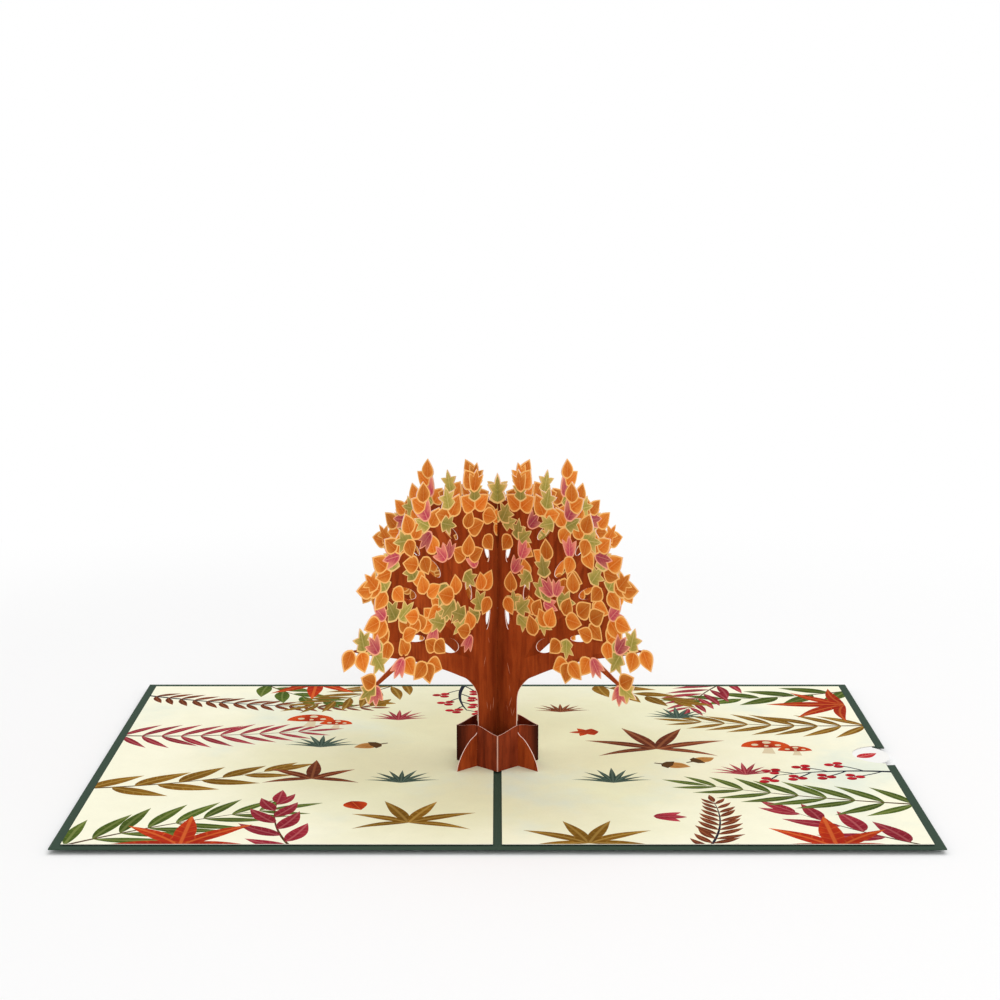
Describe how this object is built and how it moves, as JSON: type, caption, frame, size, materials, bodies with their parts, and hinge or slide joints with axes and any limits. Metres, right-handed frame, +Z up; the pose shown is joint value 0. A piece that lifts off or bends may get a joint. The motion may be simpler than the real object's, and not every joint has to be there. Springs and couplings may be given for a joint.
{
  "type": "pop-up card",
  "caption": "Open folded greeting card with a slotted paper tree standing on its fold in a folded root collar, and a note card that slides out of a pocket at one edge.",
  "frame": {"origin": "middle of the fold, on the surface that the open card lies on", "axes": "+X to the right across the fold, +Y along the fold away from the reader, +Z up along the tree"},
  "size_m": [0.254, 0.178, 0.0971],
  "materials": {
    "cover_stock": "dark green matt card stock",
    "liner_paper": "cream printed paper",
    "tape": "double-sided tissue tape",
    "note_stock": "plain white card",
    "tree_paper": "printed paper, russet bark and autumn leaves",
    "collar_paper": "printed paper, russet bark"
  },
  "bodies": {
    "card": {"cover": "cover_stock", "left_liner": "liner_paper", "right_liner": "liner_paper", "left_tape": "tape", "right_tape": "tape", "under_slice": "tree_paper", "over_slice": "tree_paper", "root_collar": "collar_paper"},
    "note": {"note_card": "note_stock"}
  },
  "joints": [
    {"name": "note_slide", "type": "slide", "parent": "card", "child": "note", "axis": [1, 0, 0], "range_m": [0, 0.104]}
  ]
}
